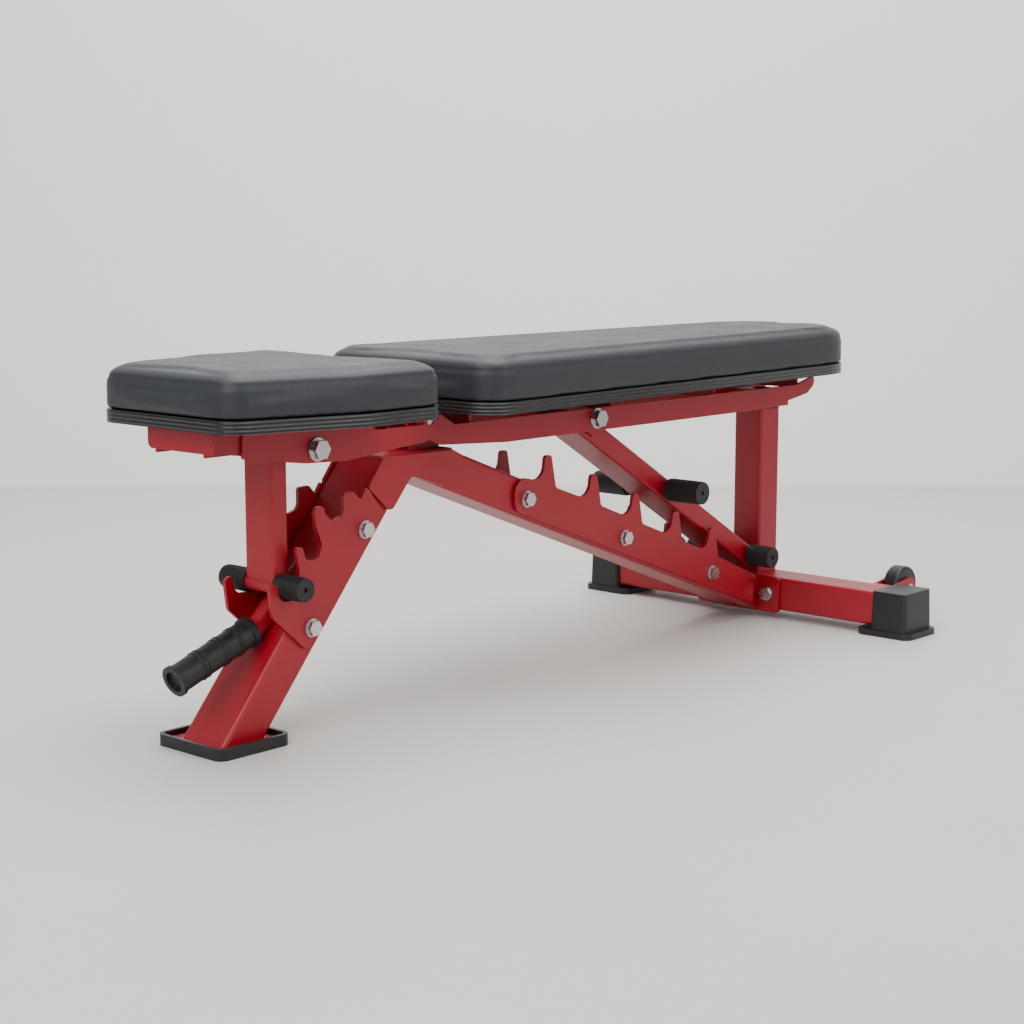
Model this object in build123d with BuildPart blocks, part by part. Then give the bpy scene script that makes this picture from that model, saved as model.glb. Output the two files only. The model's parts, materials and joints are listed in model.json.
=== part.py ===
from build123d import *
from math import cos, hypot, radians, sin, tan
import os

os.makedirs("parts", exist_ok=True)

# Adjustable weight bench, in millimetres. +Z is up, +X runs to the head end,
# and the origin is on the floor under the middle of the pads.

# ---- Driving dimensions ----
toe = -605.0            # x of the front foot's front edge; profiles below count x from here
tube_wide = 75.0        # width of the two main tubes
tube_deep = 50.0        # depth of the two main tubes
wall = 3.0              # wall of every steel tube
plate = 5.0             # thickness of the ladder plates
leg_angle = 50.2        # slope of the front leg
spine_angle = 20.7      # fall of the spine towards the head end
leg_rear = (203.5, 150.0)     # a point on the front leg's rear face
spine_top = (394.0, 321.0)    # where the spine's top face starts
apex_z = 318.0          # height at which leg and spine are cut level
hinge = (352.0, 360.0)        # main hinge of seat and back
seat_pivot = (162.0, 341.0)   # bolt of the seat post
arm_pivot = (678.0, 337.0)    # bolt of the support arm
seat_bar_foot = (122.0, 182.0)   # foot bar of the seat post
arm_foot = (1058.0, 98.0)     # foot bar of the support arm
base_width = 610.0      # width over the two rear feet
wheel_centre = (1191.0, 55.0)

half = tube_wide / 2
leg_run = tube_deep / sin(radians(leg_angle))
spine_drop = tube_deep / cos(radians(spine_angle))
leg_slope = tan(radians(leg_angle))
spine_slope = tan(radians(spine_angle))


def leg_rear_x(z):
    """x of the leg's rear face at height z."""
    return leg_rear[0] + (z - leg_rear[1]) / leg_slope


def spine_z(x):
    """Height of the spine's top face at x."""
    return spine_top[1] - (x - spine_top[0]) * spine_slope


def outline(corners):
    """Draw a closed outline through (x, z, radius) corners, each rounded by its radius."""
    points = [Vector(toe + c[0], c[1]) for c in corners]
    count = len(points)
    joints = []
    for i in range(count):
        radius = corners[i][2]
        back = (points[i - 1] - points[i]).normalized()
        ahead = (points[(i + 1) % count] - points[i]).normalized()
        if radius == 0:
            joints.append((points[i], None, points[i]))
            continue
        middle = (back + ahead).normalized()
        sine = hypot((back - ahead).X, (back - ahead).Y) / 2
        cosine = hypot((back + ahead).X, (back + ahead).Y) / 2
        reach = radius * cosine / sine
        centre_distance = radius / sine
        joints.append((
            points[i] + back * reach,
            points[i] + middle * (centre_distance - radius),
            points[i] + ahead * reach,
        ))
    for i in range(count):
        start, bulge, end = joints[i]
        if bulge is not None:
            ThreePointArc(start, bulge, end)
        Line(end, joints[(i + 1) % count][0])


def upright_plane(side, inner):
    """Plane of a lengthwise plate's outer-facing start; side is -1 near, +1 far."""
    return Plane.XZ.offset(inner) if side < 0 else Plane.XZ.offset(-inner)


def side_plate(corners, side, inner, thick, holes=(), hole=5.2):
    """One flat plate standing lengthwise, its inner face `inner` from the middle."""
    with BuildPart() as flat:
        with BuildSketch(upright_plane(side, inner)):
            with BuildLine():
                outline(corners)
            make_face()
            for x, z in holes:
                with Locations((toe + x, z)):
                    Circle(hole, mode=Mode.SUBTRACT)
        extrude(amount=-side * thick)
    return flat.part


def cross_holes(points, radius, reach=120.0):
    """Drill across the bench at each (x, z)."""
    with BuildSketch(Plane.XZ) as drilled:
        for x, z in points:
            with Locations((toe + x, z)):
                Circle(radius)
    extrude(drilled.sketch, amount=reach, both=True, mode=Mode.SUBTRACT)


def cross_bar(point, radius, inner, outer, bore=0.0):
    """A round bar or sleeve across the bench from y = inner to y = outer."""
    with BuildPart() as bar:
        with BuildSketch(Plane.XZ.offset(-outer)):
            with Locations((toe + point[0], point[1])):
                Circle(radius)
                if bore > 0:
                    Circle(bore, mode=Mode.SUBTRACT)
        extrude(amount=outer - inner)
    return bar.part


def capped_sleeve(point, radius, bore, side, inner, outer):
    """A rubber sleeve on a bar's end, closed but for a small vent hole."""
    low_y, high_y = sorted((side * inner, side * outer))
    with BuildPart() as sleeve:
        add(cross_bar(point, radius, low_y, high_y, 3.0))
        low_y, high_y = sorted((side * inner, side * (outer - 3)))
        add(cross_bar(point, bore, low_y, high_y), mode=Mode.SUBTRACT)
    return sleeve.part


def hex_bolt(plane, flats, head, washer, shank, length):
    """Hex bolt standing on a plane: washer, head outwards and shank inwards."""
    with BuildPart() as bolt:
        with BuildSketch(plane):
            Circle(washer)
        extrude(amount=2.0)
        with BuildSketch(plane.offset(2.0)):
            RegularPolygon(flats / 2, 6, major_radius=False)
        extrude(amount=head)
        with BuildSketch(plane):
            Circle(shank)
        extrude(amount=-length)
    return bolt.part


def side_bolts(points, face, flats=17.0, head=6.5, washer=11.0, shank=5.0, length=13.0):
    """The same bolt on both sides of the bench at each (x, z)."""
    made = []
    for x, z in points:
        for side in (-1, 1):
            seat = Plane(origin=(toe + x, side * face, z), x_dir=(1, 0, 0), z_dir=(0, side, 0))
            made.append(hex_bolt(seat, flats, head, washer, shank, length))
    return made


def save(name, part):
    """Label one sub-part and write its STEP file."""
    part.label = name
    export_step(part, "parts/" + name + ".step")


seat_ladder_bolts_at = ((243.0, 236.0), (155.0, 129.0))
back_ladder_bolts_at = ((537.0, 241.0), (743.0, 164.0), (949.0, 86.0))

# ---- Front foot: a moulded shoe with the leg's base plate lying in it ----
shoe_long = 107.0
shoe_wide = 118.0
shoe_tall = 14.0
with BuildPart() as front_foot:
    with BuildSketch():
        with Locations((toe + shoe_long / 2, 0)):
            RectangleRounded(shoe_long, shoe_wide, 12)
    extrude(amount=shoe_tall)
    with BuildSketch(Plane.XY.offset(4)):
        with Locations((toe + shoe_long / 2, 0)):
            RectangleRounded(shoe_long - 10, shoe_wide - 10, 8)
    extrude(amount=shoe_tall, mode=Mode.SUBTRACT)
save("front_foot", front_foot.part)

with BuildPart() as leg_base_plate:
    with BuildSketch(Plane.XY.offset(4)):
        with Locations((toe + shoe_long / 2, 0)):
            RectangleRounded(94, 104, 7)
    extrude(amount=4)
save("leg_base_plate", leg_base_plate.part)

# ---- Front leg, cut level at the floor plate and at the apex ----
leg_dir = (cos(radians(leg_angle)), 0, sin(radians(leg_angle)))
leg_start = (toe + leg_rear_x(-40) - leg_run / 2, 0, -40)
with BuildPart() as front_leg:
    with BuildSketch(Plane(origin=leg_start, x_dir=(0, 1, 0), z_dir=leg_dir)):
        RectangleRounded(tube_wide, tube_deep, 6)
        RectangleRounded(tube_wide - 2 * wall, tube_deep - 2 * wall, 3, mode=Mode.SUBTRACT)
    extrude(amount=520)
    with BuildSketch(Plane.XZ):
        with BuildLine():
            outline(((-60, 8, 0), (460, 8, 0), (460, apex_z, 0), (-60, apex_z, 0)))
        make_face()
    extrude(amount=60, both=True, mode=Mode.INTERSECT)
    cross_holes(seat_ladder_bolts_at, 5.0)
save("front_leg", front_leg.part)

# ---- Spine, coped to the leg's rear face ----
spine_dir = (cos(radians(spine_angle)), 0, -sin(radians(spine_angle)))
spine_end = 1076.0
spine_start = (toe + 200, 0, spine_z(200) - spine_drop / 2)
with BuildPart() as spine:
    with BuildSketch(Plane(origin=spine_start, x_dir=(0, 1, 0), z_dir=spine_dir)):
        RectangleRounded(tube_wide, tube_deep, 6)
        RectangleRounded(tube_wide - 2 * wall, tube_deep - 2 * wall, 3, mode=Mode.SUBTRACT)
    extrude(amount=1100)
    with BuildSketch(Plane.XZ):
        with BuildLine():
            outline((
                (leg_rear_x(0), 0, 0),
                (spine_end, 0, 0),
                (spine_end, apex_z, 0),
                (leg_rear_x(apex_z), apex_z, 0),
            ))
        make_face()
    extrude(amount=60, both=True, mode=Mode.INTERSECT)
    cross_holes(back_ladder_bolts_at, 5.0)
save("spine", spine.part)

cap_front = leg_rear_x(apex_z) - leg_run
cap_back = spine_top[0] + 7
with BuildPart() as apex_cap:
    with BuildSketch(Plane.XY.offset(apex_z)):
        with Locations((toe + (cap_front + cap_back) / 2, 0)):
            Rectangle(cap_back - cap_front, tube_wide)
    extrude(amount=3)
save("apex_cap", apex_cap.part)

# ---- Welded cheeks of the apex and the two pairs of ladders ----
cheek = (
    (277, 320.5, 4),
    (250, 286, 5),
    (284, 255, 5),
    (292, 256, 0),
    (324, 293, 8),
    (385, 273, 6),
    (420, 308, 6),
    (398, 319, 4),
)
seat_ladder = (
    (96, 148, 8),
    (147, 103, 4),
    (276, 252, 4),
    (248, 288, 4),
    (237, 272, 3),
    (226, 284, 6),
    (209, 283, 5),
    (209, 258, 9),
    (190, 252, 8),
    (180, 262, 4),
    (177, 272, 5),
    (162, 271, 5),
    (165, 248, 12),
    (174, 226, 8),
    (168, 209, 10),
    (148, 211, 6),
    (143, 227, 4),
    (132.5, 227, 4),
    (137.5, 200, 6),
    (137, 166, 12.5),
    (107, 166, 12.5),
    (101.5, 190, 3.5),
    (91, 184, 5),
)
tooth_tips = ((580, 295), (675, 260), (767, 224), (860, 188), (949, 153))
back_ladder = [(514, 228, 20), (1056, 24, 6), (1056, 69, 4)]
for tip_x, tip_z in reversed(tooth_tips):
    back_ladder.append((tip_x + 16, tip_z - 45, 8))
    back_ladder.append((tip_x + 7, tip_z, 5.5))
    back_ladder.append((tip_x - 6, tip_z, 5.5))
    back_ladder.append((tip_x - 10, tip_z - 34, 18))
back_ladder.append((514, 274, 20))

for side, word in ((-1, "near"), (1, "far")):
    save("apex_cheek_" + word, side_plate(cheek, side, half, plate))
    save("seat_ladder_" + word, side_plate(seat_ladder, side, half, plate, seat_ladder_bolts_at))
    save("back_ladder_" + word, side_plate(back_ladder, side, half, plate, back_ladder_bolts_at))

save("seat_ladder_bolts", Compound(children=side_bolts(seat_ladder_bolts_at, half + plate)))
save("back_ladder_bolts", Compound(children=side_bolts(back_ladder_bolts_at, half + plate)))

# ---- Rear end of the spine: flange, crossbar, end caps ----
flange_thick = 5.0
flange_bolt_y = 53.0
flange_bolt_z = 38.0
bar_front = spine_end + flange_thick
bar_deep = 63.0
bar_low = 13.0
bar_tall = 50.0
bar_middle = bar_front + bar_deep / 2
with BuildPart() as spine_flange:
    with BuildSketch(Plane.YZ.offset(toe + spine_end)):
        with Locations((0, bar_low + 24)):
            RectangleRounded(150, 56, 6)
        with Locations((-flange_bolt_y, flange_bolt_z), (flange_bolt_y, flange_bolt_z)):
            Circle(5.0, mode=Mode.SUBTRACT)
    extrude(amount=flange_thick)
save("spine_flange", spine_flange.part)

flange_bolts = []
for y in (-flange_bolt_y, flange_bolt_y):
    face = Plane(origin=(toe + spine_end, y, flange_bolt_z), x_dir=(0, 1, 0), z_dir=(-1, 0, 0))
    flange_bolts.append(hex_bolt(face, 17, 6.5, 11, 5.0, 14))
save("flange_bolts", Compound(children=flange_bolts))

bar_half_length = 285.0
with BuildPart() as rear_crossbar:
    with BuildSketch(Plane.XZ):
        with Locations((toe + bar_middle, bar_low + bar_tall / 2)):
            RectangleRounded(bar_deep, bar_tall, 5)
            RectangleRounded(bar_deep - 2 * wall, bar_tall - 2 * wall, 2.5, mode=Mode.SUBTRACT)
    extrude(amount=bar_half_length, both=True)
    with BuildSketch(Plane.YZ.offset(toe + bar_front)):
        with Locations((-flange_bolt_y, flange_bolt_z), (flange_bolt_y, flange_bolt_z)):
            Circle(5.0)
    extrude(amount=8, mode=Mode.SUBTRACT)
save("rear_crossbar", rear_crossbar.part)

cap_inner = 237.0
cap_outer = 297.0
foot_inner = 215.0
for side, word in ((-1, "near"), (1, "far")):
    with BuildPart() as end_cap:
        with BuildSketch(Plane.XY):
            with Locations((toe + bar_middle, side * (foot_inner + base_width / 2) / 2)):
                RectangleRounded(84, base_width / 2 - foot_inner, 14)
        extrude(amount=9)
        with BuildSketch(Plane.XY.offset(5)):
            with Locations((toe + bar_middle, side * (cap_inner + cap_outer) / 2)):
                RectangleRounded(bar_deep + 14, cap_outer - cap_inner, 8)
        extrude(amount=61, taper=2)
        with BuildSketch(upright_plane(side, 200)):
            with Locations((toe + bar_middle, bar_low + bar_tall / 2)):
                RectangleRounded(bar_deep, bar_tall, 5)
        extrude(amount=-side * (bar_half_length - 200), mode=Mode.SUBTRACT)
    save("end_cap_" + word, end_cap.part)

upright_back = bar_front + bar_deep
upright_tall = 318.0
with BuildPart() as rear_upright:
    with BuildSketch(Plane.XY.offset(bar_low + bar_tall)):
        with Locations((toe + upright_back - 25, 0)):
            RectangleRounded(50, 50, 5)
            RectangleRounded(50 - 2 * wall, 50 - 2 * wall, 2.5, mode=Mode.SUBTRACT)
    extrude(amount=upright_tall - bar_low - bar_tall - 2)
save("rear_upright", rear_upright.part)

with BuildPart() as upright_plug:
    with BuildSketch(Plane.XY.offset(upright_tall - 2)):
        with Locations((toe + upright_back - 25, 0)):
            RectangleRounded(50, 50, 5)
    extrude(amount=2)
    with BuildSketch(Plane.XY.offset(upright_tall - 2)):
        with Locations((toe + upright_back - 25, 0)):
            RectangleRounded(44, 44, 2.5)
    extrude(amount=-12)
save("upright_plug", upright_plug.part)

# ---- Lifting handle under the front leg ----
handle_radius = 12.5
grip_end = Vector(toe - 17.5, 0, 87.2)
handle_knee = Vector(toe + 104, 0, 131)
handle_root = Vector(toe + 180, 0, 193.7)
grip_line = (grip_end - handle_knee).normalized()
with BuildPart() as handle_tube:
    with BuildLine():
        handle_path = FilletPolyline(handle_root, handle_knee, grip_end - grip_line * 10, radius=40)
    with BuildSketch(Plane(origin=handle_path @ 0, z_dir=handle_path % 0)):
        Circle(handle_radius)
        Circle(handle_radius - 2, mode=Mode.SUBTRACT)
    sweep(path=handle_path)
    with BuildSketch(Plane.XZ):
        with BuildLine():
            outline((
                (leg_rear_x(60) - leg_run, 60, 0),
                (leg_rear_x(300) - leg_run, 300, 0),
                (-60, 300, 0),
                (-60, 60, 0),
            ))
        make_face()
    extrude(amount=60, both=True, mode=Mode.INTERSECT)
save("handle_tube", handle_tube.part)

grip_start = handle_knee + grip_line * 8
grip_long = (grip_end - grip_start).length
with BuildPart() as handle_grip:
    with BuildSketch(Plane(origin=grip_start, z_dir=grip_line)):
        Circle(17)
        Circle(handle_radius, mode=Mode.SUBTRACT)
    extrude(amount=grip_long)
    for ring_at, ring_long in ((0, 8), (grip_long - 5, 5)):
        with BuildSketch(Plane(origin=grip_start + grip_line * ring_at, z_dir=grip_line)):
            Circle(19)
            Circle(handle_radius, mode=Mode.SUBTRACT)
        extrude(amount=ring_long)
    with BuildSketch(Plane(origin=grip_end - grip_line * 8, z_dir=grip_line)):
        Circle(handle_radius)
    extrude(amount=3)
save("handle_grip", handle_grip.part)

# ---- Main hinge: two lugs on the apex, a pin through seat and back bars ----
lug_inner = 14.0
lug_thick = 6.0
pin_radius = 6.0
pin_half = 47.0
seat_bar_inner = 44.6
back_bar_inner = 39.8
bar_thick = 4.0
ear_round = 11.0        # the ears are round about the hinge, so the raised board clears them
lug = (
    (hinge[0] - ear_round, 321, 0),
    (hinge[0] + 46, 321, 3),
    (hinge[0] + ear_round + 2, hinge[1] + ear_round, 8),
    (hinge[0] - ear_round, hinge[1] + ear_round, ear_round - 0.05),
)
lugs = [side_plate(lug, side, lug_inner, lug_thick, (hinge,), pin_radius) for side in (-1, 1)]
save("hinge_lugs", Compound(children=lugs))
save("hinge_pin", cross_bar(hinge, pin_radius, -pin_half, pin_half))

# ---- Transport wheels on welded forks behind the crossbar ----
fork_inner = 199.0
fork_outer = 234.0
fork_plate = 4.0
wheel_radius = 30.0
axle_radius = 5.0
wheel_gap = 1.5
axles = []
for side, word in ((-1, "near"), (1, "far")):
    with BuildPart() as fork:
        with BuildSketch(upright_plane(side, fork_inner)):
            with BuildLine():
                outline((
                    (upright_back, 30, 0),
                    (wheel_centre[0] + 16, wheel_centre[1] - 16, 15.5),
                    (wheel_centre[0] + 16, wheel_centre[1] + 16, 15.5),
                    (upright_back, 62, 0),
                ))
            make_face()
        extrude(amount=-side * (fork_outer - fork_inner))
        with BuildSketch(upright_plane(side, fork_inner + fork_plate)):
            with BuildLine():
                outline((
                    (upright_back + 4, 0, 0),
                    (1250, 0, 0),
                    (1250, 120, 0),
                    (upright_back + 4, 120, 0),
                ))
            make_face()
        extrude(amount=-side * (fork_outer - fork_inner - 2 * fork_plate), mode=Mode.SUBTRACT)
        cross_holes((wheel_centre,), axle_radius, 300)
    save("wheel_fork_" + word, fork.part)
    inner_y = side * (fork_inner - 3)
    outer_y = side * (fork_outer + 2)
    axles.append(cross_bar(wheel_centre, axle_radius, min(inner_y, outer_y), max(inner_y, outer_y)))
    with BuildPart() as wheel:
        with BuildSketch(upright_plane(side, fork_inner + fork_plate + wheel_gap)):
            with Locations((toe + wheel_centre[0], wheel_centre[1])):
                Circle(wheel_radius)
                Circle(axle_radius + 0.05, mode=Mode.SUBTRACT)
        extrude(amount=-side * (fork_outer - fork_inner - 2 * fork_plate - 2 * wheel_gap))
        fillet(wheel.edges().filter_by(GeomType.CIRCLE).sort_by(SortBy.RADIUS)[-2:], 4)
    save("wheel_" + word, wheel.part)

save("wheel_axles", Compound(children=axles))

# ---- Seat frame ----
seat_bar = (
    (50, 339, 5),
    (144, 326, 60),
    (210, 323, 60),
    (300, 331, 60),
    (345, 334, 10),
    (hinge[0] + ear_round, hinge[1] - 16, 10),
    (hinge[0] + ear_round, hinge[1] + ear_round, ear_round - 0.05),
    (hinge[0] - ear_round, hinge[1] + ear_round, ear_round - 0.05),
    (hinge[0] - ear_round, 355, 2),
    (262, 355, 8),
    (240, 366, 8),
    (50, 368, 5),
)
for side, word in ((-1, "near"), (1, "far")):
    flat = side_plate(seat_bar, side, seat_bar_inner, bar_thick, (hinge, seat_pivot), pin_radius + 0.05)
    save("seat_bar_" + word, flat)

board_low = 377.0
bracket_thick = 4.0
bracket_top = board_low - bracket_thick
with BuildPart() as seat_bracket_front:
    with BuildSketch(Plane.YZ.offset(toe)):
        with BuildLine():
            FilletPolyline((-58, bracket_top), (-58, 349), (58, 349), (58, bracket_top), radius=8)
            Line((58, bracket_top), (-58, bracket_top))
        make_face()
    extrude(amount=bracket_thick)
    with BuildSketch(Plane.XY.offset(bracket_top)):
        with Locations((toe + 39, 0)):
            Rectangle(78, 2 * seat_bar_inner)
    extrude(amount=bracket_thick)
    for y in (-seat_bar_inner + 2, seat_bar_inner - 2):
        with BuildSketch(Plane.XY.offset(345)):
            with Locations((toe + 39, y)):
                Rectangle(78, bracket_thick)
        extrude(amount=bracket_top - 345)
save("seat_bracket_front", seat_bracket_front.part)

with BuildPart() as seat_bracket_rear:
    with BuildSketch(Plane.YZ.offset(toe + 224)):
        with Locations((0, (350 + bracket_top) / 2)):
            Rectangle(2 * seat_bar_inner, bracket_top - 350)
    extrude(amount=bracket_thick)
    with BuildSketch(Plane.XY.offset(bracket_top)):
        with Locations((toe + 236, 0)):
            Rectangle(24, 210)
    extrude(amount=bracket_thick)
save("seat_bracket_rear", seat_bracket_rear.part)


def pad_layer(corners, low, high, inset=0.0, round_top=0.0):
    """A layer of a pad or its board between two heights, from its near-side outline."""
    with BuildPart() as layer:
        with BuildSketch(Plane.XY.offset(low)):
            with BuildLine():
                outline(corners)
            make_face()
            if inset > 0:
                offset(amount=-inset, mode=Mode.REPLACE)
        extrude(amount=high - low)
        if round_top > 0:
            fillet(layer.faces().sort_by(Axis.Z)[-1].edges(), round_top)
    return layer.part


seat_front = -25.0
seat_rear = 268.0
seat_plan = (
    (seat_front, -114, 32),
    (140, -160, 60),
    (seat_rear, -160, 28),
    (seat_rear, 160, 28),
    (140, 160, 60),
    (seat_front, 114, 32),
)
trim_wide = 6.0
pad_low = 392.0
pad_high = 441.0
seat_board = pad_layer(seat_plan, board_low, pad_low, trim_wide)
save("seat_board", seat_board)
with BuildPart() as seat_trim:
    with BuildSketch(Plane.XY.offset(board_low)):
        with BuildLine():
            outline(seat_plan)
        make_face()
    extrude(amount=pad_low - board_low)
    add(seat_board, mode=Mode.SUBTRACT)
save("seat_trim", seat_trim.part)
save("seat_pad", pad_layer(seat_plan, pad_low, pad_high, 0, 18))

# ---- Seat post ----
post_front = 112.0
post_back = 137.0
with BuildPart() as seat_post:
    with BuildSketch(Plane.XY.offset(180)):
        with Locations((toe + (post_front + post_back) / 2, 0)):
            RectangleRounded(post_back - post_front, 50, 4)
            RectangleRounded(post_back - post_front - 5, 45, 2, mode=Mode.SUBTRACT)
    extrude(amount=168)
    cross_holes((seat_bar_foot,), 11.0)
save("seat_post", seat_post.part)
post_ear = (
    (post_front, 331, 4),
    (seat_pivot[0] + 14, 329, 10),
    (seat_pivot[0] + 14, seat_pivot[1] + 14, 13),
    (post_front, 347, 4),
)
post_ears = []
post_spacers = []
for side, word in ((-1, "near"), (1, "far")):
    post_ears.append(side_plate(post_ear, side, 25, 4, (seat_pivot,), 6.0))
    low_y, high_y = sorted((side * 29, side * (seat_bar_inner - 0.3)))
    post_spacers.append(cross_bar(seat_pivot, 10, low_y, high_y, 6.0))
    save("post_roller_" + word, capped_sleeve(seat_bar_foot, 14.0, 11.0, side, 26, 70))
save("post_ears", Compound(children=post_ears))
save("post_spacers", Compound(children=post_spacers))
save("post_foot_bar", cross_bar(seat_bar_foot, 11.0, -66, 66))


def pivot_bolt(point, outer):
    """A through bolt with a washer and a hex head on both ends."""
    with BuildPart() as bolt:
        add(cross_bar(point, 6.0, -outer, outer))
        for side in (-1, 1):
            seat = Plane(origin=(toe + point[0], side * outer, point[1]), x_dir=(1, 0, 0), z_dir=(0, side, 0))
            with BuildSketch(seat):
                Circle(14)
            extrude(amount=2)
            with BuildSketch(seat.offset(2)):
                RegularPolygon(10.5, 6, major_radius=False)
            extrude(amount=9)
    return bolt.part


save("post_pivot_bolt", pivot_bolt(seat_pivot, seat_bar_inner + bar_thick + 0.3))

# ---- Back frame ----
back_bar = (
    (hinge[0] - 14, hinge[1] - 18, 12),
    (hinge[0] + 22, 327, 12),
    (497, 320, 60),
    (1085, 320, 60),
    (1190, 336, 20),
    (1210, 350, 10),
    (1206, 362, 5),
    (1160, 351, 10),
    (400, 351, 10),
    (hinge[0] + 14, hinge[1] + 10, 11),
    (hinge[0] - 12, hinge[1] + 10, 10),
)
for side, word in ((-1, "near"), (1, "far")):
    flat = side_plate(back_bar, side, back_bar_inner, bar_thick, (hinge, arm_pivot), pin_radius + 0.05)
    save("back_bar_" + word, flat)

back_board_low = 372.0
brackets = []
for x in (430.0, 712.0, 950.0, 1165.0):
    with BuildPart() as bracket:
        with BuildSketch(Plane.YZ.offset(toe + x)):
            with Locations((0, 357)):
                Rectangle(2 * back_bar_inner, 22)
        extrude(amount=4)
        with BuildSketch(Plane.XY.offset(back_board_low - 4)):
            with Locations((toe + x + 12, 0)):
                Rectangle(24, 170)
        extrude(amount=4)
    brackets.append(bracket.part)
save("back_brackets", Compound(children=brackets))

with BuildPart() as rest_block:
    with BuildSketch(Plane.XY.offset(upright_tall + 2.4)):
        with Locations((toe + upright_back - 26, 0)):
            Rectangle(52, 2 * back_bar_inner)
    extrude(amount=26)
save("rest_block", rest_block.part)

back_front = 350.0
back_rear = 1235.0
back_plan = (
    (back_front, -156, 42),
    (1140, -119, 60),
    (back_rear, -106, 95),
    (back_rear, 106, 95),
    (1140, 119, 60),
    (back_front, 156, 42),
)
back_pad_low = 387.0
back_pad_high = 440.0
back_board = pad_layer(back_plan, back_board_low, back_pad_low, trim_wide)
save("back_board", back_board)
with BuildPart() as back_trim:
    with BuildSketch(Plane.XY.offset(back_board_low)):
        with BuildLine():
            outline(back_plan)
        make_face()
    extrude(amount=back_pad_low - back_board_low)
    add(back_board, mode=Mode.SUBTRACT)
save("back_trim", back_trim.part)
save("back_pad", pad_layer(back_plan, back_pad_low, back_pad_high, 0, 18))

# ---- Support arm ----
arm_mid = (852.0, 220.0)
arm_length = hypot(arm_foot[0] - arm_mid[0], arm_foot[1] - arm_mid[1])
arm_x = (arm_foot[0] - arm_mid[0]) / arm_length
arm_z = (arm_foot[1] - arm_mid[1]) / arm_length
arm_reach = 221.0       # how far the tube runs on past its crossbar, up to the pivot
arm_start = (toe + arm_mid[0] - arm_reach * arm_x, 0, arm_mid[1] - arm_reach * arm_z)
with BuildPart() as arm:
    with BuildSketch(Plane(origin=arm_start, x_dir=(0, 1, 0), z_dir=(arm_x, 0, arm_z))):
        RectangleRounded(60, 30, 4)
        RectangleRounded(55, 25, 2, mode=Mode.SUBTRACT)
    extrude(amount=arm_reach + arm_length + 13)
    cross_holes((arm_mid,), 12.5)
    cross_holes((arm_pivot,), 6.0)
    cross_holes((arm_foot,), 10.0)
save("arm", arm.part)


def along_arm(s, t):
    """(x, z) at s along the arm from the pivot and t above its line."""
    return (arm_pivot[0] + s * arm_x - t * arm_z, arm_pivot[1] + s * arm_z + t * arm_x)


arm_ear = (
    (*along_arm(-13, 13), 12),
    (*along_arm(-12, -20), 6),
    (*along_arm(26, -20), 6),
    (*along_arm(16, 13), 8),
)
arm_ears = []
arm_spacers = []
for side, word in ((-1, "near"), (1, "far")):
    arm_ears.append(side_plate(arm_ear, side, 30, 4, (arm_pivot,), 6.0))
    low_y, high_y = sorted((side * 34, side * (back_bar_inner - 0.3)))
    arm_spacers.append(cross_bar(arm_pivot, 10, low_y, high_y, 6.0))
    save("arm_grip_" + word, capped_sleeve(arm_mid, 16.0, 12.5, side, 38, 96))
    save("arm_roller_" + word, capped_sleeve(arm_foot, 15.5, 10.0, side, 36, 76))
save("arm_ears", Compound(children=arm_ears))
save("arm_spacers", Compound(children=arm_spacers))
save("arm_crossbar", cross_bar(arm_mid, 12.5, -92, 92))
save("arm_foot_bar", cross_bar(arm_foot, 10.0, -72, 72))
save("arm_pivot_bolt", pivot_bolt(arm_pivot, back_bar_inner + bar_thick + 0.3))
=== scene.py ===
import json
from math import atan2, cos, pi, radians, sin

import bmesh
import bpy
from mathutils import Matrix, Vector


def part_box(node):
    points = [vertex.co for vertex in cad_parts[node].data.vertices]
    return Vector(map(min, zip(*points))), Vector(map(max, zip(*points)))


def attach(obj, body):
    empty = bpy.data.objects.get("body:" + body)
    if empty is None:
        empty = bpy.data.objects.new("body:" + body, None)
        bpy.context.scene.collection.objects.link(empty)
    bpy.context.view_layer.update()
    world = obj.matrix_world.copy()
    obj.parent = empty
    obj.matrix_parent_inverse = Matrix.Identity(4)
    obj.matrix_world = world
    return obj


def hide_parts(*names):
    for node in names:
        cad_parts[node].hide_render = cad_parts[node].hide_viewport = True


MM = 0.001

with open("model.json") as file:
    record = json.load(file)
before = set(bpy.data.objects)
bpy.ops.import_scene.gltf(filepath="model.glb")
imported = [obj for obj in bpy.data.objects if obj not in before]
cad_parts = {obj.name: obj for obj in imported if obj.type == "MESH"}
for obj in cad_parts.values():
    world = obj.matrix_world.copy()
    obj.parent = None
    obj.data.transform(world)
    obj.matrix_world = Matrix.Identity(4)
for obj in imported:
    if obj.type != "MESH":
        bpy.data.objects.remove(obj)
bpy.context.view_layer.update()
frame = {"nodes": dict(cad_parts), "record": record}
nodes = frame["nodes"]
bpy.ops.object.select_all(action="DESELECT")
print("CAD nodes:", len(nodes))

# %% [markdown]
# ## Two helpers for materials
# Colours are written as sRGB hex, the way a paint chart gives them, and turned
# to linear light in one place. One function adds any shader node, sets its
# values and links its inputs, so each material reads as a short list.
# %% Colour and shader helpers


def paint(hex_code):
    """An sRGB hex colour as the linear colour that the shader wants."""
    values = []
    for start in (0, 2, 4):
        s = int(hex_code[start:start + 2], 16) / 255
        values.append(s / 12.92 if s <= 0.04045 else ((s + 0.055) / 1.055) ** 2.4)
    return (*values, 1.0)


def add_node(material, kind, settings=None, inputs=None):
    """Add one shader node; inputs take plain values or another node's output."""
    node = material.node_tree.nodes.new(kind)
    for name, value in (settings or {}).items():
        setattr(node, name, value)
    for name, value in (inputs or {}).items():
        socket = node.inputs[name]
        if isinstance(value, bpy.types.NodeSocket):
            material.node_tree.links.new(value, socket)
        else:
            socket.default_value = value
    return node


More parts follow.
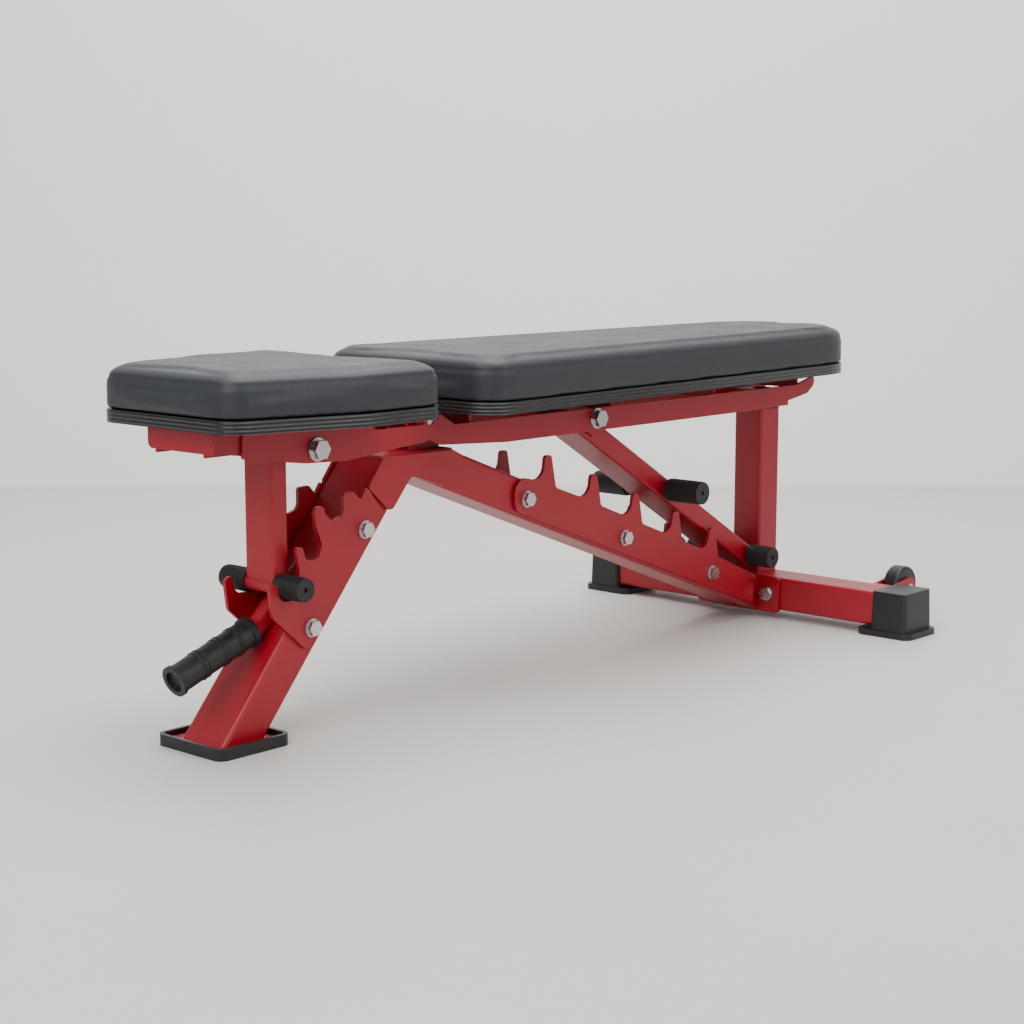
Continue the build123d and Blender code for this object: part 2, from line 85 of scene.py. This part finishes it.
def new_material(name):
    """An empty material with its Principled shader and object coordinates."""
    material = bpy.data.materials.new(name)
    material.use_nodes = True
    shader = material.node_tree.nodes["Principled BSDF"]
    place = add_node(material, "ShaderNodeTexCoord").outputs["Object"]
    return material, shader, place


def set_inputs(material, shader, **values):
    """Set or link the Principled shader's inputs, named with underscores."""
    for name, value in values.items():
        socket = shader.inputs[name.replace("_", " ")]
        if isinstance(value, bpy.types.NodeSocket):
            material.node_tree.links.new(value, socket)
        else:
            socket.default_value = value


def speckle(material, place, size, detail=2.0):
    """Noise whose grains are about `size` metres across."""
    return add_node(material, "ShaderNodeTexNoise", inputs={
        "Vector": place, "Scale": 1 / size, "Detail": detail}).outputs["Fac"]


def between(material, factor, low, high):
    """Turn a 0..1 factor into a value from low to high."""
    return add_node(material, "ShaderNodeMapRange", inputs={
        "Value": factor, "From Min": 0.3, "From Max": 0.7,
        "To Min": low, "To Max": high}).outputs["Result"]


def two_colours(material, factor, first, second):
    """Mix two paint colours by a factor."""
    mix = add_node(material, "ShaderNodeMix", {"data_type": "RGBA"})
    material.node_tree.links.new(factor, mix.inputs["Factor"])
    mix.inputs[6].default_value = paint(first)
    mix.inputs[7].default_value = paint(second)
    return mix.outputs[2]


def bumps(material, height, depth, under=None):
    """A bump map of real depth in metres, laid over another normal if given."""
    inputs = {"Height": height, "Distance": depth, "Strength": 1.0}
    if under is not None:
        inputs["Normal"] = under
    return add_node(material, "ShaderNodeBump", inputs=inputs).outputs["Normal"]


def worn_edge(material, radius):
    """A normal that rounds sharp edges by a small radius, as paint and moulds do."""
    return add_node(material, "ShaderNodeBevel", {"samples": 6}, {"Radius": radius}).outputs["Normal"]


def stripes(material, place, axis, pitch):
    """A 0..1 wave along one axis that repeats every `pitch` metres."""
    return add_node(material, "ShaderNodeTexWave", {
        "wave_type": "BANDS", "bands_direction": axis, "wave_profile": "SIN"}, {
        "Vector": place, "Scale": 2 * pi / (20 * pitch), "Distortion": 0.0}).outputs["Fac"]


# %% [markdown]
# ## The finishes
# Powder coat is sprayed on as dry paint and baked, so it rounds every edge a
# little and dries with a fine orange peel. That breaks up its reflections.
# %% Powder-coated steel
coat, shader, place = new_material("powder-coated steel")
peel = speckle(coat, place, 1.4 * MM, 3.0)
shade = speckle(coat, place, 90 * MM, 2.0)
# Deep red with a soft gloss: the peel spreads the highlights into broad patches.
set_inputs(
    coat, shader,
    Base_Color=two_colours(coat, shade, "900018", "9C001E"),
    Roughness=between(coat, peel, 0.36, 0.46),
    Normal=bumps(coat, peel, 0.05 * MM, worn_edge(coat, 0.8 * MM)),
)
print("made", coat.name)

# %% [markdown]
# The pads are covered in vinyl, a fabric with a soft plastic face. It is
# embossed with a leather grain: small cells with fine creases between them.
# %% Grained vinyl
vinyl, shader, place = new_material("grained vinyl")
cells = add_node(vinyl, "ShaderNodeTexVoronoi", {"feature": "DISTANCE_TO_EDGE"}, {
    "Vector": place, "Scale": 1 / (1.5 * MM)}).outputs["Distance"]
creases = add_node(vinyl, "ShaderNodeMapRange", inputs={
    "Value": cells, "From Min": 0.0, "From Max": 0.15, "To Min": 0.0, "To Max": 1.0}).outputs["Result"]
handled = speckle(vinyl, place, 60 * MM, 3.0)
# Near-black blue-grey; the grain keeps the sheen wide and low.
set_inputs(
    vinyl, shader,
    Base_Color=two_colours(vinyl, handled, "1D2026", "22262D"),
    Roughness=between(vinyl, handled, 0.44, 0.54),
    Normal=bumps(vinyl, creases, 0.05 * MM),
)
print("made", vinyl.name)

# %% [markdown]
# The edging round each board is a soft PVC extrusion with fine ribs along it.
# %% Ribbed PVC edging
edging, shader, place = new_material("ribbed PVC edging")
ribs = stripes(edging, place, "Z", 4.5 * MM)
# Black and slightly shiny, so each rib catches one thin line of light.
set_inputs(
    edging, shader,
    Base_Color=two_colours(edging, speckle(edging, place, 30 * MM), "101012", "16161A"),
    Roughness=0.33,
    Normal=bumps(edging, ribs, 1.6 * MM),
)
print("made", edging.name)

# %% [markdown]
# The feet and caps are moulded ABS. The mould is spark-eroded, so the plastic
# comes out with a fine even texture.
# %% Moulded ABS
moulded, shader, place = new_material("moulded ABS")
texture = speckle(moulded, place, 0.9 * MM, 2.0)
# Near-black and even, with soft highlights only along the rounded edges.
set_inputs(
    moulded, shader,
    Base_Color=two_colours(moulded, speckle(moulded, place, 40 * MM), "0E0E10", "151517"),
    Roughness=between(moulded, texture, 0.38, 0.5),
    Normal=bumps(moulded, texture, 0.04 * MM, worn_edge(moulded, 1.2 * MM)),
)
print("made", moulded.name)

# %% [markdown]
# Grips and rollers are moulded rubber: nearly no shine, and a faint dusty bloom.
# %% Moulded rubber
rubber, shader, place = new_material("moulded rubber")
bloom = speckle(rubber, place, 12 * MM, 4.0)
# The bloom makes the black patchy and keeps the rings from shining alike.
set_inputs(
    rubber, shader,
    Base_Color=two_colours(rubber, bloom, "0D0D0E", "171718"),
    Roughness=between(rubber, bloom, 0.45, 0.6),
    Normal=worn_edge(rubber, 1.0 * MM),
)
print("made", rubber.name)

# %% [markdown]
# Bolts, washers and bars are zinc-plated: bright, bluish, and a little uneven.
# %% Zinc-plated steel
zinc, shader, place = new_material("zinc-plated steel")
plating = speckle(zinc, place, 3 * MM, 3.0)
# Bright heads against the red, each with a slightly uneven sparkle.
set_inputs(
    zinc, shader,
    Base_Color=two_colours(zinc, plating, "B4B8BC", "D0D2D4"),
    Metallic=1.0,
    Roughness=between(zinc, plating, 0.2, 0.36),
    Normal=bumps(zinc, plating, 0.02 * MM),
)
print("made", zinc.name)

# %% [markdown]
# The boards under the pads are plywood, stained dark so they don't show.
# %% Stained plywood
board, shader, place = new_material("stained plywood")
stretched = add_node(board, "ShaderNodeMapping", inputs={
    "Vector": place, "Scale": (0.06, 1, 1)}).outputs["Vector"]
grain = speckle(board, stretched, 3 * MM, 4.0)
# Dull dark wood, its grain drawn out along the bench.
set_inputs(
    board, shader,
    Base_Color=two_colours(board, grain, "1C1815", "2A241E"),
    Roughness=between(board, grain, 0.6, 0.75),
    Normal=bumps(board, grain, 0.1 * MM),
)
print("made", board.name)

# %% [markdown]
# ## Paint the CAD pieces
# The record says which slot each CAD node takes its finish from, so the
# materials are handed out by slot.
# %% Hand out the materials
finish_of = {
    "red_steel": coat,
    "vinyl": vinyl,
    "trim": edging,
    "black_plastic": moulded,
    "wheel_rubber": moulded,
    "grip_rubber": rubber,
    "zinc": zinc,
    "plywood": board,
}
for part in frame["record"]["subparts"]:
    mesh = nodes[part["node"]].data
    mesh.materials.clear()
    mesh.materials.append(finish_of[part["material_slot"]])
for node in nodes.values():
    bpy.ops.object.select_all(action="DESELECT")
    node.select_set(True)
    bpy.context.view_layer.objects.active = node
    bpy.ops.object.shade_smooth_by_angle(angle=radians(28))
print("painted", len(nodes), "nodes")

# %% [markdown]
# ## The stuffed pads
# Each pad starts as a copy of its CAD solid. It is remeshed finely, then blown
# up a little as cloth under pressure, with its flat underside held to the
# board. That is how foam fills its cover, and it gives the soft crown.
# %% Swell a pad as cloth
LARGEST_SWELL = 3.5 * MM
LARGEST_DIP = 0.6 * MM
SIM_FRAMES = 20
CELL = 5 * MM
HELD_HEIGHT = 4 * MM
SEAM_DEPTH = 1.3 * MM
SEAM_WIDTH = 5 * MM
SEAT_SEAM = 12 * MM
BACK_SEAM = 15 * MM


def activate(piece):
    """Make one piece the only selected and active one."""
    bpy.ops.object.select_all(action="DESELECT")
    piece.select_set(True)
    bpy.context.view_layer.objects.active = piece


def copy_of(node_name, name):
    """A free, welded copy of a CAD node, with its origin left where it is."""
    source = nodes[node_name]
    piece = bpy.data.objects.new(name, source.data.copy())
    bpy.context.scene.collection.objects.link(piece)
    activate(piece)
    bpy.ops.object.mode_set(mode="EDIT")
    bpy.ops.mesh.select_all(action="SELECT")
    bpy.ops.mesh.remove_doubles(threshold=0.01 * MM)
    bpy.ops.object.mode_set(mode="OBJECT")
    return piece


def remesh(piece, cell):
    """Rebuild a piece from cubes of one size, so that its faces are even."""
    activate(piece)
    change = piece.modifiers.new("even faces", "REMESH")
    change.mode = "VOXEL"
    change.voxel_size = cell
    bpy.ops.object.modifier_apply(modifier=change.name)


def swell(piece, low):
    """Blow the cover up over its held underside and cap how far it moves."""
    before = [v.co.copy() for v in piece.data.vertices]
    outward = [v.normal.copy() for v in piece.data.vertices]
    held = piece.vertex_groups.new(name="held")
    held.add([i for i, co in enumerate(before) if co.z < low + HELD_HEIGHT], 1.0, "REPLACE")
    cloth = piece.modifiers.new("cover", "CLOTH")
    cloth.settings.quality = 6
    cloth.settings.mass = 0.3
    cloth.settings.tension_stiffness = 30
    cloth.settings.compression_stiffness = 30
    cloth.settings.shear_stiffness = 15
    cloth.settings.bending_stiffness = 3
    cloth.settings.use_pressure = True
    cloth.settings.uniform_pressure_force = 4
    cloth.settings.vertex_group_mass = held.name
    cloth.settings.effector_weights.gravity = 0
    cloth.point_cache.frame_start = 1
    cloth.point_cache.frame_end = SIM_FRAMES
    for step in range(1, SIM_FRAMES + 1):
        bpy.context.scene.frame_set(step)
    activate(piece)
    bpy.ops.object.modifier_apply(modifier=cloth.name)
    for vertex, start, normal in zip(piece.data.vertices, before, outward):
        bulge = (vertex.co - start).dot(normal)
        vertex.co = start + normal * max(-LARGEST_DIP, min(LARGEST_SWELL, bulge))


def smooth(piece, rounds):
    """Relax the little steps that remeshing leaves."""
    activate(piece)
    change = piece.modifiers.new("relax", "SMOOTH")
    change.factor = 0.5
    change.iterations = rounds
    bpy.ops.object.modifier_apply(modifier=change.name)


def press_seam(piece, height, depth, width):
    """Draw the cover in along the seam, as the stitches do."""
    for vertex in piece.data.vertices:
        off = abs(vertex.co.z - height)
        side = abs(vertex.normal.z) < 0.8
        if off < width and side:
            pull = depth * (0.5 + 0.5 * cos(pi * off / width))
            inward = Vector((vertex.normal.x, vertex.normal.y, 0))
            vertex.co -= inward * pull


def make_pad(node_name, seam_below_top):
    """One finished pad from its CAD node."""
    low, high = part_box(node_name)
    pad = copy_of(node_name, node_name + "_cover")
    remesh(pad, CELL)
    smooth(pad, 3)
    swell(pad, low.z)
    activate(pad)
    change = pad.modifiers.new("finer", "SUBSURF")
    change.levels = 1
    bpy.ops.object.modifier_apply(modifier=change.name)
    press_seam(pad, high.z - seam_below_top, SEAM_DEPTH, SEAM_WIDTH)
    pad.data.materials.clear()
    pad.data.materials.append(vinyl)
    activate(pad)
    bpy.ops.object.shade_smooth_by_angle(angle=radians(40))
    print(pad.name, len(pad.data.polygons), "faces")
    return pad


seat_cover = make_pad("seat_pad", SEAT_SEAM)
back_cover = make_pad("back_pad", BACK_SEAM)
for cover, body, node_name in ((seat_cover, "seat", "seat_pad"), (back_cover, "back", "back_pad")):
    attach(cover, body)
    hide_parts(node_name)

# %% [markdown]
# ## Stitches along the seams
# The top panel is sewn to the side band just below the top edge. The thread
# shows as a row of short straight stitches that follows the pad all round.
# %% Find the seam line and lay stitches on it
thread, shader, place = new_material("polyester thread")
# A dull twisted thread that shows only as a fine broken line.
set_inputs(
    thread, shader,
    Base_Color=two_colours(thread, speckle(thread, place, 2 * MM), "1C1D20", "2A2B2F"),
    Roughness=0.7,
    Normal=bumps(thread, speckle(thread, place, 0.4 * MM), 0.1 * MM),
)


STITCH_DROP = 2.5 * MM
STITCH_PITCH = 5 * MM
STITCH_LENGTH = 3.6 * MM
STITCH_THICK = 0.8 * MM


def ring_at(piece, height):
    """The points where a level cut meets the piece's side, in order round it."""
    cut = bmesh.new()
    cut.from_mesh(piece.data)
    found = bmesh.ops.bisect_plane(
        cut, geom=cut.verts[:] + cut.edges[:] + cut.faces[:],
        plane_co=(0, 0, height), plane_no=(0, 0, 1))
    points = [g.co.copy() for g in found["geom_cut"] if isinstance(g, bmesh.types.BMVert)]
    cut.free()
    middle = sum(points, Vector()) / len(points)
    half_long = (max(p.x for p in points) - min(p.x for p in points)) / 2
    half_wide = (max(p.y for p in points) - min(p.y for p in points)) / 2

    def turn(p):
        return atan2((p.y - middle.y) / half_wide, (p.x - middle.x) / half_long)

    return sorted(points, key=turn)


def even_points(ring, pitch):
    """Points `pitch` apart along a closed ring."""
    made = []
    carried = 0.0
    for start, end in zip(ring, ring[1:] + ring[:1]):
        run = (end - start).length
        while carried < run:
            made.append(start.lerp(end, carried / run))
            carried += pitch
        carried -= run
    return made


def stitch_row(name, ring, pitch, length, thick):
    """Short rounded stitches along a ring, in one mesh."""
    points = even_points(ring, pitch)
    made = bmesh.new()
    for here, following in zip(points, points[1:] + points[:1]):
        along = following - here
        if along.length < 0.2 * pitch or along.length > 2 * pitch:
            continue
        turn = along.to_track_quat("X", "Z").to_matrix().to_4x4()
        spot = bmesh.ops.create_icosphere(made, subdivisions=1, radius=1.0)["verts"]
        for vertex in spot:
            shaped = Vector((vertex.co.x * length, vertex.co.y * thick, vertex.co.z * thick)) / 2
            vertex.co = here + turn @ shaped
    mesh = bpy.data.meshes.new(name)
    made.to_mesh(mesh)
    made.free()
    piece = bpy.data.objects.new(name, mesh)
    bpy.context.scene.collection.objects.link(piece)
    piece.data.materials.append(thread)
    piece.data.shade_smooth()
    print(name, len(points), "stitches")
    return piece


for cover, body, below in ((seat_cover, "seat", SEAT_SEAM), (back_cover, "back", BACK_SEAM)):
    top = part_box(body + "_pad")[1].z
    ring = ring_at(cover, top - below - STITCH_DROP)
    row = stitch_row(body + "_pad_stitches", ring, STITCH_PITCH, STITCH_LENGTH, STITCH_THICK)
    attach(row, body)

# %% [markdown]
# ## Ribs on the grips and rollers
# The rubber sleeves have raised rings, so a hand or a notch can't slip along
# them. Each ring is a thin torus sunk half into its sleeve.
# %% Rings on round sleeves


def add_ring(centre, axis, big, thin, name):
    """One torus about an axis; returned as an object with its mesh in place."""
    bpy.ops.mesh.primitive_torus_add(
        major_radius=big, minor_radius=thin, major_segments=48, minor_segments=8)
    ring = bpy.context.object
    ring.name = name
    turn = Vector((0, 0, 1)).rotation_difference(axis).to_matrix().to_4x4()
    ring.data.transform(turn)
    ring.data.transform(Matrix.Translation(centre))
    ring.location = (0, 0, 0)
    ring.data.shade_smooth()
    ring.data.materials.append(rubber)
    return ring


def join_pieces(pieces, name):
    """Join several pieces into one object."""
    activate(pieces[0])
    for piece in pieces:
        piece.select_set(True)
    bpy.ops.object.join()
    pieces[0].name = name
    return pieces[0]


across = Vector((0, 1, 0))
FINE_RING = 0.6 * MM
for body, sleeve, count in (
    ("support_arm", "arm_grip", 14),
    ("support_arm", "arm_roller", 9),
    ("seat_post", "post_roller", 9),
):
    for side in ("near", "far"):
        low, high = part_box(sleeve + "_" + side)
        radius = (high.z - low.z) / 2
        middle = (low + high) / 2
        rings = []
        for i in range(count):
            y = low.y + (high.y - low.y) * (i + 1) / (count + 1)
            spot = Vector((middle.x, y, middle.z))
            rings.append(add_ring(spot, across, radius, FINE_RING, "ring"))
        ribs_piece = join_pieces(rings, sleeve + "_ribs_" + side)
        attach(ribs_piece, body)

# %% [markdown]
# The lifting handle's grip has two pairs of thicker rings for the fingers. The
# grip slopes, so its axis is set at a given slope through the middle of the grip.
# %% Finger rings on the lifting handle
grip_points = [v.co.copy() for v in nodes["handle_grip"].data.vertices]
grip_middle = sum(grip_points, Vector()) / len(grip_points)
GRIP_SLOPE = radians(19.8)
grip_axis = Vector((cos(GRIP_SLOPE), 0, sin(GRIP_SLOPE)))
runs = [(p - grip_middle).dot(grip_axis) for p in grip_points]
grip_long = max(runs) - min(runs)
grip_start = grip_middle + grip_axis * min(runs)
GRIP_RADIUS = 17 * MM
FINGER_RING = 1.2 * MM
rings = []
for share in (0.3, 0.35, 0.56, 0.61, 0.76, 0.79):
    spot = grip_start + grip_axis * grip_long * share
    rings.append(add_ring(spot, grip_axis, GRIP_RADIUS, FINGER_RING, "ring"))
finger_rings = join_pieces(rings, "handle_grip_rings")
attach(finger_rings, "frame")
print("finger rings", len(finger_rings.data.polygons), "faces")

# %% [markdown]
# ## Camera, floor and light
# The camera stands low at the front corner, where a person would stand to look
# along the bench. A long lens keeps the lines nearly parallel.
# %% Camera
VIEW_TURN = radians(47.9)
VIEW_DOWN = radians(8.74)
camera_data = bpy.data.cameras.new("camera")
camera = bpy.data.objects.new("camera", camera_data)
bpy.context.scene.collection.objects.link(camera)
camera_data.sensor_width = 36
camera_data.lens = 69.25
camera.location = (-1.9828, -1.7466, 0.6178)
camera.rotation_euler = (pi / 2 - VIEW_DOWN, 0, -VIEW_TURN)
bpy.context.scene.camera = camera

# %% [markdown]
# The floor is plain and pale, and a painted wall stands a little way behind.
# Neither belongs to the bench.
# %% Floor and wall
STAGE_SIZE = 30
floor_material, shader, place = new_material("pale matt floor")
set_inputs(
    floor_material, shader,
    Base_Color=two_colours(floor_material, speckle(floor_material, place, 0.4), "C9C6C2", "CFCCC8"),
    Roughness=0.55,
)
bpy.ops.mesh.primitive_plane_add(size=STAGE_SIZE)
floor = bpy.context.object
floor.name = "floor"
floor.data.materials.append(floor_material)
wall_material, shader, place = new_material("painted wall")
set_inputs(
    wall_material, shader,
    Base_Color=two_colours(wall_material, speckle(wall_material, place, 0.6), "F0F0EF", "F4F4F3"),
    Roughness=0.8,
)
WALL_DISTANCE = 4.4
away = Vector((sin(VIEW_TURN), cos(VIEW_TURN), 0))
bpy.ops.mesh.primitive_plane_add(size=STAGE_SIZE)
wall = bpy.context.object
wall.name = "wall"
wall.data.materials.append(wall_material)
wall.rotation_euler = (pi / 2, 0, -VIEW_TURN)
wall.location = Vector((camera.location.x, camera.location.y, 0)) + away * WALL_DISTANCE

# %% [markdown]
# Three large soft lights and a pale sky stand in for a studio. The overhead one
# is the brightest, so the tops of the pads read lighter than their sides.
# %% Lights
world = bpy.data.worlds.new("studio")
bpy.context.scene.world = world
world.use_nodes = True
world.node_tree.nodes["Background"].inputs["Color"].default_value = paint("F2F2F0")
world.node_tree.nodes["Background"].inputs["Strength"].default_value = 0.75


def soft_light(name, place, aim, size, power):
    """A large square light that points at a place."""
    data = bpy.data.lights.new(name, "AREA")
    data.shape = "SQUARE"
    data.size = size
    data.energy = power
    light = bpy.data.objects.new(name, data)
    light.location = place
    light.rotation_euler = (Vector(aim) - Vector(place)).to_track_quat("-Z", "Y").to_euler()
    bpy.context.scene.collection.objects.link(light)


soft_light("overhead", (0.2, 0.1, 2.6), (0, 0, 0.3), 2.4, 95)
soft_light("front left", (-2.6, -0.6, 2.0), (0, 0, 0.3), 1.8, 50)
soft_light("near side", (0.6, -3.0, 1.8), (0, 0, 0.3), 1.8, 30)
